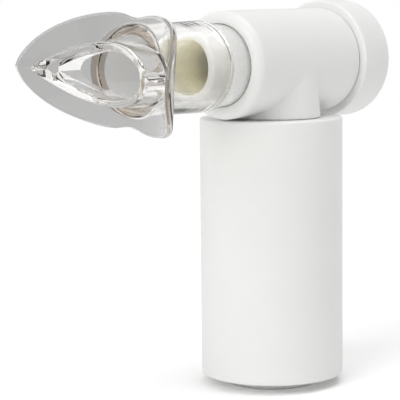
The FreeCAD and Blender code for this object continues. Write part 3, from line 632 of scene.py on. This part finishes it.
def even_out(points, faces, field, reach, rounds):
    """Let each point drift to the middle of its neighbours, but stay on the surface."""
    ends = np.concatenate([faces[:, [k, (k + 1) % 4]] for k in range(4)])
    degree = np.bincount(ends.ravel(), minlength=len(points))[:, None]
    for _ in range(rounds):
        middle = np.zeros_like(points)
        np.add.at(middle, ends[:, 0], points[ends[:, 1]])
        np.add.at(middle, ends[:, 1], points[ends[:, 0]])
        drift = middle / degree - points
        normal = unit_slope(field, points)
        drift -= normal * (drift * normal).sum(-1)[:, None]
        points = settle_points(field, points + DRIFT_SHARE * drift, reach)
    return points


print("points move for up to %d steps" % NEWTON_STEPS)

# %% [markdown]
# One function now turns a formula into a piece. Its normals come from the formula too, so
# small rounds stay smooth in the light with few faces. The formula is in millimetres about
# a piece's own axis, and the last step takes its points to metres and to their place.

# %% Write the piece maker
DRIFT_ROUNDS = 3


def mesh_from_field(name, field, box, cell, place):
    """A closed mesh of the field's surface in a box, from millimetres to its place in metres."""
    cell = cell * 1
    grid, values = grid_values(field, *box, cell)
    inside = values < 0
    points, numbers = cell_points(grid, values, inside)
    faces = cell_faces(inside, numbers)
    points = settle_points(field, points, cell)
    points = even_out(points, faces, field, cell, DRIFT_ROUNDS)
    mesh = bpy.data.meshes.new(name)
    mesh.vertices.add(len(points))
    mesh.vertices.foreach_set("co", points.ravel())
    mesh.loops.add(faces.size)
    mesh.loops.foreach_set("vertex_index", faces.ravel())
    mesh.polygons.add(len(faces))
    mesh.polygons.foreach_set("loop_start", np.arange(0, faces.size, 4))
    mesh.update(calc_edges=True)
    mesh.validate()
    mesh.polygons.foreach_set("use_smooth", np.ones(len(faces), bool))
    mesh.normals_split_custom_set_from_vertices(unit_slope(field, points))
    mesh.transform(place @ Matrix.Scale(MM, 4))
    piece = bpy.data.objects.new(name, mesh)
    bpy.context.scene.collection.objects.link(piece)
    print("%s: %d faces" % (name, len(faces)))
    return piece


print("piece maker ready")

# %% [markdown]
# A finished piece gets its finish, rides on its body and stands for the nodes that it
# dresses, which are hidden. One helper says all three.

# %% Write the helper that dresses a node
def dress(piece, body, slot, *nodes):
    """Give a piece its finish, its body and the nodes that it stands for."""
    piece.data.materials.clear()
    piece.data.materials.append(FINISHES[slot])
    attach(piece, body)
    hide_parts(*nodes)


print("finishes to wear:", ", ".join(sorted(FINISHES)))

# %% [markdown]
# ## Head
#
# The head is one white moulding: a level tube with a rounded lip at the mouth, an oval stem
# that drops out of its middle and a round neck that goes down into the grip. At the tube's
# axis the stem is as deep from front to back as the tube, and it flares a little on its way
# down, so their walls meet in a V that starts as a fold too soft to see and gets crisper as
# it falls. A field gives that by itself.

# %% Shape the head
TUBE_RADIUS, TUBE_FRONT, TUBE_REAR, TUBE_STEP = 16.9, -26.5, 25.6, 14.0
SOCKET_RADIUS, OUTLET_RADIUS = 12.85, 14.4
LIP_ROUND, LIP_INNER_ROUND, REAR_ROUND, FOOT_ROUND = 3.0, 0.8, 0.4, 0.15
STEM_HALF_WIDTH, STEM_FLARE, STEM_CENTRE, STEM_DROP = 12.7, 1.9, -1.2, 17.42
STEM_HALF_DEPTH, STEM_DEPTH_FLARE = 16.7, 1.0
NECK_RADIUS, NECK_BORE, NECK_DROP = 14.0, 11.9, 33.9
GROOVE_LOW, GROOVE_HIGH, GROOVE_RADIUS = -22.8, -20.2, 13.2
CREASE_ROUND, NECK_FILLET, GROOVE_ROUND = 0.5, 0.3, 0.1
HEAD_BOX, HEAD_CELL = ((-28, -18.5, -35.5), (27, 18.5, 18.5)), 0.5


def head_field(p):
    """The head about the tube's axis: its tube along X, its stem and neck down -Z."""
    x, y, z = p[..., 0], p[..., 1], p[..., 2]
    from_axis = np.hypot(y, z)
    tube = trim(from_axis - TUBE_RADIUS, TUBE_FRONT - x, LIP_ROUND)
    tube = trim(tube, x - TUBE_REAR, REAR_ROUND)
    fall = np.clip(-z / STEM_DROP, 0, 1)
    half_width = STEM_HALF_WIDTH + STEM_FLARE * fall
    oval = np.hypot((x - STEM_CENTRE) / half_width, y / (STEM_HALF_DEPTH + STEM_DEPTH_FLARE * fall))
    stem = trim((oval - 1) * half_width, np.maximum(-STEM_DROP - z, z), FOOT_ROUND)
    from_neck = np.hypot(x, y)
    neck = trim(from_neck - NECK_RADIUS, np.maximum(-NECK_DROP - z, z), REAR_ROUND)
    groove = np.maximum(GROOVE_RADIUS - from_neck, np.maximum(GROOVE_LOW - z, z - GROOVE_HIGH))
    neck = cut(neck, groove, GROOVE_ROUND)
    solid = join(join(tube, stem, CREASE_ROUND), neck, NECK_FILLET)
    socket = np.maximum(from_axis - SOCKET_RADIUS, x - TUBE_STEP)
    outlet = np.maximum(from_axis - OUTLET_RADIUS, TUBE_STEP - x)
    down = np.maximum(from_neck - NECK_BORE, z)
    return cut(solid, np.minimum(np.minimum(socket, outlet), down), LIP_INNER_ROUND)


head = mesh_from_field("head_shell", head_field, HEAD_BOX, HEAD_CELL, ON_TUBE_AXIS)
dress(head, "head", "white_shell", "head_housing")

# %% [markdown]
# ## Mouthpiece
#
# The mouthpiece is what the lips and teeth hold. A bent oval plate goes between the lips
# and the gums, with a notch above and below for the folds of skin there. A flat rim stands
# out of its front for the teeth, with the airway through it, and a round tube behind it
# grips the spigot and widens a little to its end. It sits on the spigot a few degrees off
# level. The near half of the plate is squarer than the far one, as on the real object.

# %% Shape the mouthpiece
PLATE_HALF_WALL, PLATE_ROUND = 0.9, 0.8
PLATE_HALF_ARC, PLATE_HALF_HEIGHT, PLATE_LOWER = 37.2, 17.7, -0.6
NOTCH_DEPTH, NOTCH_HALF_WIDTH, NEAR_BLEND = 1.5, 5.0, 16.0
FAR_POWERS, NEAR_EXTRA, OUTLINE_SLOPE_LEAST = (2.3, 1.5), (0.8, 0.3), 0.02
RIM_REACH, RIM_HALF_WIDTH, RIM_HALF_HEIGHT, RIM_ROUND = 11.0, 23.6, 9.3, 1.1
RIM_TIP_ROUND, RIM_FILLET, SLEEVE_FILLET, SLEEVE_ROUND = 1.0, 1.2, 1.6, 0.5
HIDDEN_ROUND, AIRWAY_EDGE = 0.1, 0.6
AIRWAY_HALF_WIDTH, AIRWAY_HALF_HEIGHT, AIRWAY_ROUND = 19.0, 7.1, 6.0
SLEEVE_RADIUS, SLEEVE_BORE, SLEEVE_END = 13.3, 11.1, -35.5
SLEEVE_FLARE, SLEEVE_LENGTH = 0.8, 29.5
MOUTH_ROLL = math.radians(4.5)
MOUTH_BOX, MOUTH_CELL = ((-88, -32, -20), (-34, 32, 20)), 0.4


def lens(y, z, half_width, half_height):
    """Distances to the two equal arcs of an outline that is pointed at both sides."""
    arc = (half_width ** 2 + half_height ** 2) / (2 * half_height)
    drop = arc - half_height
    above = np.hypot(y, z + drop) - arc
    below = np.hypot(y, z - drop) - arc
    return above, below


def plate_outline(along, z):
    """Distance to the plate's outline, a pointed oval with two notches and a squarer near half."""
    height = PLATE_HALF_HEIGHT - NOTCH_DEPTH * np.exp(-(along / NOTCH_HALF_WIDTH) ** 2)
    a = np.abs(along) / PLATE_HALF_ARC
    b = np.abs(z - PLATE_LOWER) / height
    near = np.clip(0.5 - along / NEAR_BLEND, 0, 1)
    across, up = FAR_POWERS[0] + NEAR_EXTRA[0] * near, FAR_POWERS[1] + NEAR_EXTRA[1] * near
    value = a ** across + b ** up
    slope_a = across * a ** (across - 1) / PLATE_HALF_ARC
    slope_b = up * b ** (up - 1) / PLATE_HALF_HEIGHT
    return (value - 1) / np.maximum(np.hypot(slope_a, slope_b), OUTLINE_SLOPE_LEAST)


def mouthpiece_field(p):
    """The mouthpiece about the tube's axis, level, with its plate towards -X."""
    x, y, z = p[..., 0], p[..., 1], p[..., 2]
    from_axis = np.hypot(y, z)
    bend = np.hypot(x - BEND_CENTRE, y)
    along = BEND_RADIUS * np.arctan2(y, x - BEND_CENTRE)
    plate = trim(np.abs(bend - BEND_RADIUS) - PLATE_HALF_WALL, plate_outline(along, z), PLATE_ROUND)
    above, below = lens(y, z - PLATE_LOWER, RIM_HALF_WIDTH, RIM_HALF_HEIGHT)
    outline = trim(above, below, RIM_TIP_ROUND)
    front = BEND_RADIUS - np.hypot(x - BEND_CENTRE + RIM_REACH, y)
    rim = trim(trim(outline, front, RIM_ROUND), bend - BEND_RADIUS, HIDDEN_ROUND)
    widening = SLEEVE_FLARE * np.clip((x - SLEEVE_END) / SLEEVE_LENGTH + 1, 0, 1)
    sleeve = trim(from_axis - SLEEVE_RADIUS - widening, x - SLEEVE_END, SLEEVE_ROUND)
    sleeve = trim(sleeve, BEND_RADIUS - bend, HIDDEN_ROUND)
    solid = join(join(plate, rim, RIM_FILLET), sleeve, SLEEVE_FILLET)
    above, below = lens(y, z - PLATE_LOWER, AIRWAY_HALF_WIDTH, AIRWAY_HALF_HEIGHT)
    slit = trim(above, below, AIRWAY_ROUND)
    bore = from_axis - SLEEVE_BORE
    front_face = bend - BEND_RADIUS + PLATE_HALF_WALL
    back_face = BEND_RADIUS + PLATE_HALF_WALL - bend
    hollow = np.minimum(np.maximum(slit, np.minimum(front_face, bore)), np.maximum(bore, back_face))
    return cut(solid, hollow, AIRWAY_EDGE)


mouthpiece = mesh_from_field("mouthpiece_body", mouthpiece_field, MOUTH_BOX, MOUTH_CELL,
                             ON_TUBE_AXIS @ Matrix.Rotation(MOUTH_ROLL, 4, "X"))
dress(mouthpiece, "mouthpiece", "clear_soft", "mouthpiece")

# %% [markdown]
# ## Spigot
#
# The pale adaptor between head and mouthpiece is a turned part: a long barrel inside the
# head with a groove for its O-ring, a collar that shows in front of the lip, and a shorter
# male end that the mouthpiece is pushed over. The same field tools round its edges.

# %% Turn the spigot
COLLAR_FRONT, COLLAR_REAR, COLLAR_RADIUS = -35.2, -13.8, 12.75
MALE_END, MALE_RADIUS, SPIGOT_BORE = -43.0, 11.0, 8.7
CORD_PLACE, CORD_GROOVE_HALF, CORD_GROOVE_RADIUS = -20.0, 0.8, 11.05
SPIGOT_ROUND, COLLAR_FILLET, CORD_ROUND = 0.4, 0.3, 0.1
SPIGOT_BOX, SPIGOT_CELL = ((-44, -14, -14), (-13, 14, 14)), 0.35


def spigot_field(p):
    """The spigot about the tube's axis: its male end towards -X, its barrel towards +X."""
    x, y, z = p[..., 0], p[..., 1], p[..., 2]
    from_axis = np.hypot(y, z)
    barrel = trim(from_axis - COLLAR_RADIUS, np.maximum(COLLAR_FRONT - x, x - COLLAR_REAR), SPIGOT_ROUND)
    male = trim(from_axis - MALE_RADIUS, np.maximum(MALE_END - x, x - COLLAR_REAR), SPIGOT_ROUND)
    groove = np.maximum(CORD_GROOVE_RADIUS - from_axis, np.abs(x - CORD_PLACE) - CORD_GROOVE_HALF)
    solid = cut(join(barrel, male, COLLAR_FILLET), groove, CORD_ROUND)
    return cut(solid, from_axis - SPIGOT_BORE, SPIGOT_ROUND)


spigot = mesh_from_field("spigot_body", spigot_field, SPIGOT_BOX, SPIGOT_CELL, ON_TUBE_AXIS)
dress(spigot, "spigot", "pale_spigot", "mouth_spigot")

# %% [markdown]
# ## Load spring
#
# The spring follows a rule, a helix of drawn wire, so Geometry Nodes make it: a spiral curve
# gives the coils, and a circle swept along it gives the wire. Its box comes from the frame,
# so the tree is given the radius and height that fit inside it.

# %% Write the spring's node tree
WIRE_SIDES, TURN_STEPS = 14, 48


def spring_tree():
    """Nodes that wind a spring from a radius, a height, a wire and a number of turns."""
    tree = bpy.data.node_groups.new("wound_spring", "GeometryNodeTree")
    face = tree.interface
    sockets = {}
    for name, kind in (("Radius", "NodeSocketFloat"), ("Height", "NodeSocketFloat"),
                       ("Wire", "NodeSocketFloat"), ("Turns", "NodeSocketFloat"),
                       ("Finish", "NodeSocketMaterial")):
        sockets[name] = face.new_socket(name, in_out="INPUT", socket_type=kind).identifier
    face.new_socket("Geometry", in_out="OUTPUT", socket_type="NodeSocketGeometry")
    given = tree.nodes.new("NodeGroupInput")
    spiral = tree.nodes.new("GeometryNodeCurveSpiral")
    spiral.inputs["Resolution"].default_value = TURN_STEPS
    for name, socket in (("Radius", "Start Radius"), ("Radius", "End Radius"), ("Height", "Height"),
                         ("Turns", "Rotations")):
        tree.links.new(given.outputs[name], spiral.inputs[socket])
    ring = tree.nodes.new("GeometryNodeCurvePrimitiveCircle")
    ring.inputs["Resolution"].default_value = WIRE_SIDES
    feed(tree, ring.inputs["Radius"], maths(tree, "MULTIPLY", given.outputs["Wire"], 0.5))
    sweep = tree.nodes.new("GeometryNodeCurveToMesh")
    sweep.inputs["Fill Caps"].default_value = True
    tree.links.new(spiral.outputs["Curve"], sweep.inputs["Curve"])
    tree.links.new(ring.outputs["Curve"], sweep.inputs["Profile Curve"])
    real = tree.nodes.new("GeometryNodeRealizeInstances")
    tree.links.new(sweep.outputs["Mesh"], real.inputs[0])
    finish = tree.nodes.new("GeometryNodeSetMaterial")
    tree.links.new(real.outputs[0], finish.inputs["Geometry"])
    tree.links.new(given.outputs["Finish"], finish.inputs["Material"])
    out = tree.nodes.new("NodeGroupOutput")
    tree.links.new(finish.outputs[0], out.inputs[0])
    return tree, sockets


spring_nodes, spring_sockets = spring_tree()
print("spring tree takes:", ", ".join(spring_sockets))

# %% [markdown]
# The tree runs on an empty carrier object. Its result is kept as a plain mesh, and the
# carrier goes. The spring rides on the carrier of the trainer, whose plate presses on its
# upper end.

# %% Wind the spring
SPRING_LOW, SPRING_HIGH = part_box("load_spring")
SPRING_LENGTH = SPRING_HIGH[2] - SPRING_LOW[2]
SPRING_WIRE, SPRING_TURNS = 1.1 * MM, 7.0


def bake_nodes(name, tree, sockets, values, place):
    """Run a node tree with the given inputs and keep the result as a plain mesh."""
    carrier = bpy.data.objects.new(name + "_nodes", bpy.data.meshes.new(name + "_nodes"))
    bpy.context.scene.collection.objects.link(carrier)
    modifier = carrier.modifiers.new("nodes", "NODES")
    modifier.node_group = tree
    for key, value in values.items():
        modifier[sockets[key]] = value
    graph = bpy.context.evaluated_depsgraph_get()
    mesh = bpy.data.meshes.new_from_object(carrier.evaluated_get(graph))
    bpy.data.objects.remove(carrier)
    mesh.transform(place)
    piece = bpy.data.objects.new(name, mesh)
    bpy.context.scene.collection.objects.link(piece)
    print("%s: %d faces" % (name, len(mesh.polygons)))
    return piece


spring_values = {
    "Radius": (SPRING_HIGH[0] - SPRING_LOW[0]) / 2 - SPRING_WIRE / 2,
    "Height": SPRING_LENGTH - SPRING_WIRE,
    "Wire": SPRING_WIRE,
    "Turns": SPRING_TURNS,
    "Finish": FINISHES["spring_steel"],
}
spring = bake_nodes("wound_spring", spring_nodes, spring_sockets, spring_values,
                    Matrix.Translation((0, 0, SPRING_LOW[2] + SPRING_WIRE / 2)))
dress(spring, "carrier", "spring_steel", "load_spring")
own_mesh(spring)

# %% [markdown]
# ## The other nodes
#
# The rest of the nodes already have the right shape. Each takes the finish of its slot in
# the record; a node's mesh stays as it is and only its material changes. The base plug is
# moulded in the plastic's natural tone, and its colour is lifted above the shells' by
# painted light, so that it stays bright in the shade under the grip's edge; it names a
# finish of its own.

# %% Give the nodes their finishes
OWN_FINISH = {"base_plug": "foot"}
finished = 0
for node_name, node in NODES.items():
    for number, old in enumerate(node.data.materials):
        finish_name = OWN_FINISH.get(node_name, old.name.split(".")[0])
        if finish_name in FINISHES:
            node.data.materials[number] = FINISHES[finish_name]
            finished += 1
print("finishes set:", finished)
